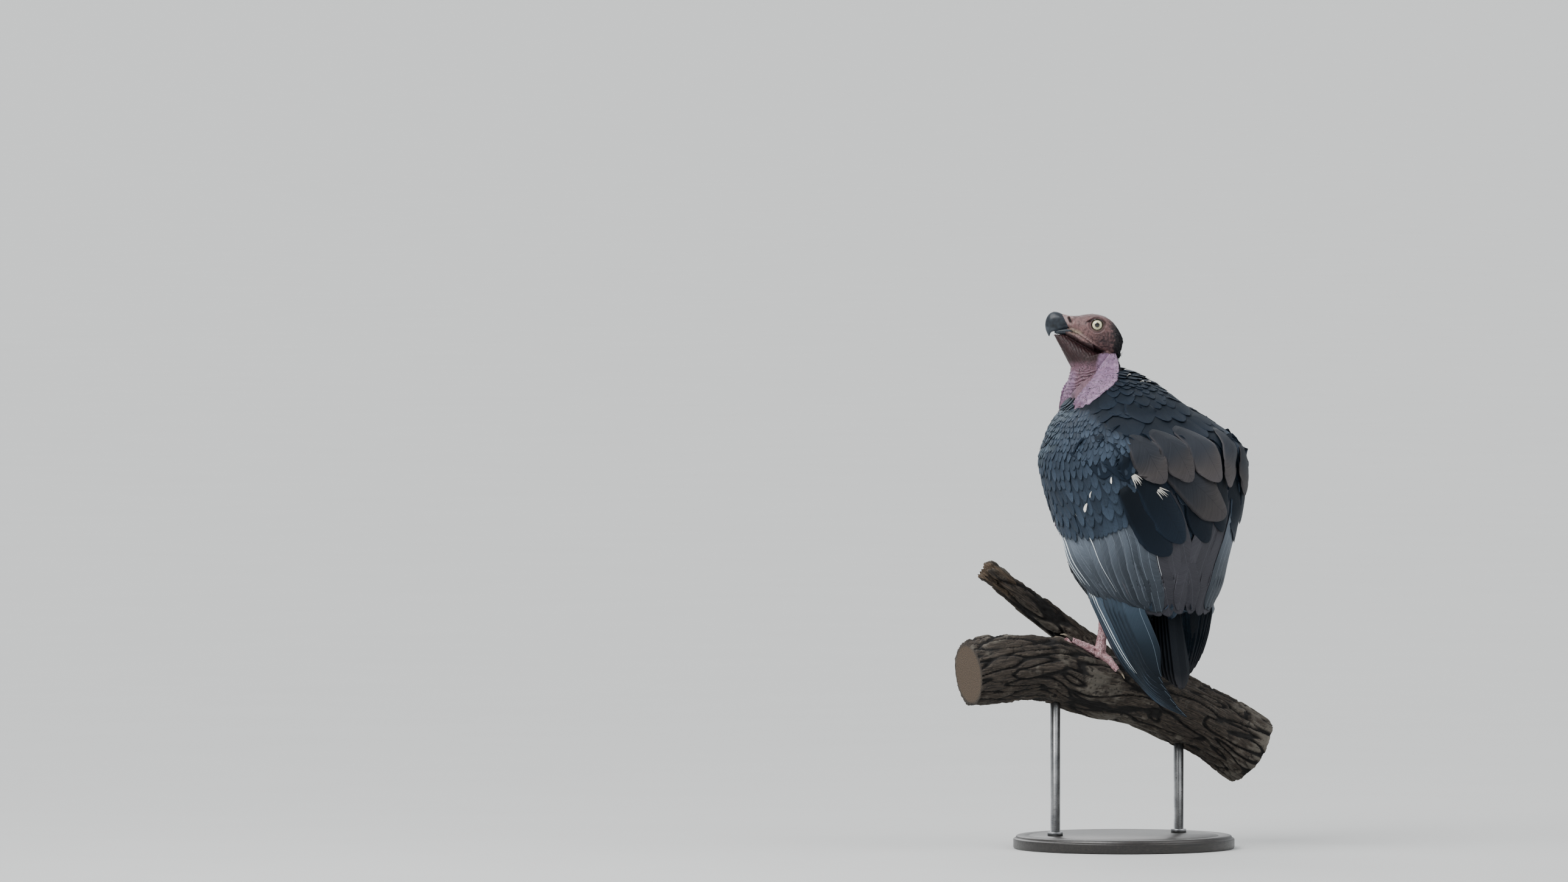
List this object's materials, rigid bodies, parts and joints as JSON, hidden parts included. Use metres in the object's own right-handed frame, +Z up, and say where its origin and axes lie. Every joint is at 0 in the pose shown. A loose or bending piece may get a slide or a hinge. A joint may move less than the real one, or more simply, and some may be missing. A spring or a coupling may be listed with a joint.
{
  "type": "red-headed vulture",
  "caption": "Life-size still model of a red-headed vulture with folded wings, looking to its left, perched on a cut length of dead branch on a round display stand.",
  "frame": {"origin": "middle of the whole model's box in plan, on the floor under the stand's base", "axes": "+Z up; the bird's breast faces -Y; its left side is +X, and its head looks to its left and forwards"},
  "size_m": [0.5984, 0.4, 0.9683],
  "materials": {
    "plumage": "soft black contour feathers",
    "flight_feathers": "stiff slate flight feathers with pale shafts",
    "face_skin": "bare wrinkled red-pink skin",
    "lappet_skin": "bare folded lilac-pink skin",
    "bill_horn": "semi-gloss dark horn",
    "iris": "wet pale iris",
    "leg_skin": "pink scaled skin",
    "claw_horn": "worn dark horn",
    "bark": "dry fissured grey-brown bark",
    "stand_wood": "dark satin lacquer",
    "rod_steel": "brushed"
  },
  "bodies": {
    "root": {"head": "face_skin", "throat": "face_skin", "neck": "face_skin", "bill_upper": "bill_horn", "bill_lower": "bill_horn", "eye_left": "iris", "eye_right": "iris", "lappet_left": "lappet_skin", "lappet_right": "lappet_skin", "trunk": "plumage", "thigh_left": "plumage", "thigh_right": "plumage", "wing_left_arm": "plumage", "wing_right_arm": "plumage", "wing_left_secondaries": "flight_feathers", "wing_left_primaries": "flight_feathers", "wing_right_secondaries": "flight_feathers", "wing_right_primaries": "flight_feathers", "tail": "flight_feathers", "shank_left": "leg_skin", "shank_right": "leg_skin", "foot_left": "leg_skin", "foot_right": "leg_skin", "claw_left_middle": "claw_horn", "claw_left_inner": "claw_horn", "claw_left_outer": "claw_horn", "claw_left_hind": "claw_horn", "claw_right_middle": "claw_horn", "claw_right_inner": "claw_horn", "claw_right_outer": "claw_horn", "claw_right_hind": "claw_horn", "perch": "bark", "stand_base": "stand_wood", "stand_rod_1": "rod_steel", "stand_rod_2": "rod_steel"}
  },
  "joints": []
}
